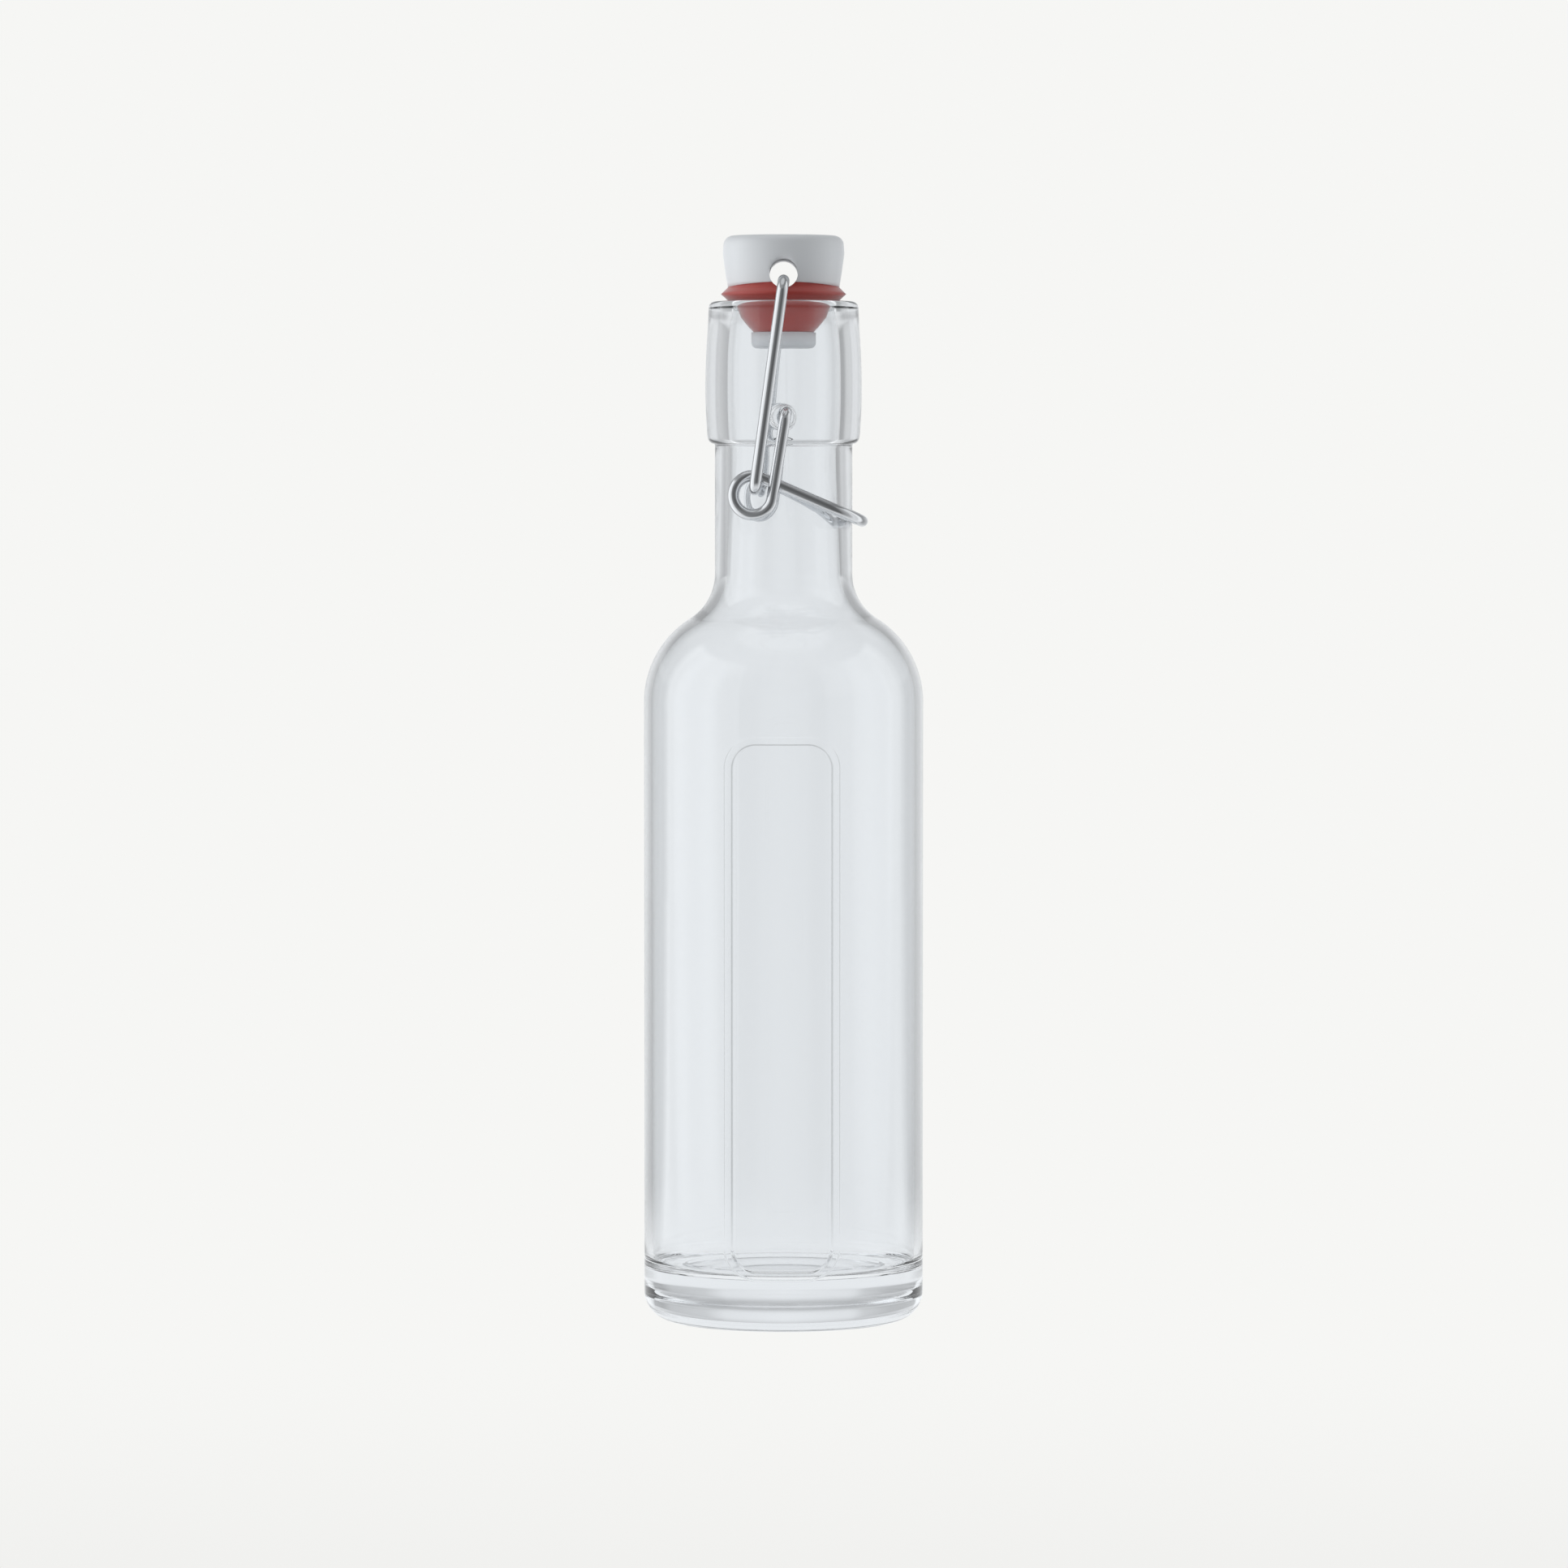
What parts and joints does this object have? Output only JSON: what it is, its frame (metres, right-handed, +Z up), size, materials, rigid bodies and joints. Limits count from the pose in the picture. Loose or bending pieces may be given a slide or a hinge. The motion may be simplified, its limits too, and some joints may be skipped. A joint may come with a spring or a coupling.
{
  "type": "swing top bottle",
  "caption": "Clear glass bottle with a round body and a raised frame on the front, closed by a stopper and rubber gasket on a bent-wire swing top.",
  "frame": {"origin": "on the bottle's axis, at the height of the ring it stands on", "axes": "+Z up along the bottle, -Y towards the front with the raised frame, +X to the right, where the handle of the lever lies"},
  "size_m": [0.068, 0.0684, 0.2639],
  "materials": {
    "glass": "clear, polished",
    "white_stopper": "satin",
    "red_rubber": "matt",
    "wire": "bright drawn wire"
  },
  "bodies": {
    "bottle": {"bottle": "glass"},
    "lever": {"lever": "wire"},
    "bail": {"bail": "wire"},
    "stopper": {"stopper": "white_stopper", "gasket": "red_rubber"}
  },
  "joints": [
    {"name": "lever_pivot", "type": "hinge", "parent": "bottle", "child": "lever", "pos_m": [0.0006, 0, 0.2209], "axis": [0, -1, 0], "range_deg": [0, 106], "deforming": ["gasket"]},
    {"name": "bail_pivot", "type": "hinge", "parent": "lever", "child": "bail", "pos_m": [-0.00695, 0, 0.2025], "axis": [0, -1, 0], "range_deg": [-69.96, 0]},
    {"name": "stopper_pivot", "type": "hinge", "parent": "bail", "child": "stopper", "pos_m": [0, 0, 0.2526], "axis": [0, -1, 0], "range_deg": [-36.04, 0]}
  ],
  "couplings": [
    {"joint": "bail_pivot", "follows": "lever_pivot", "ratio": -0.66},
    {"joint": "stopper_pivot", "follows": "lever_pivot", "ratio": -0.34}
  ]
}
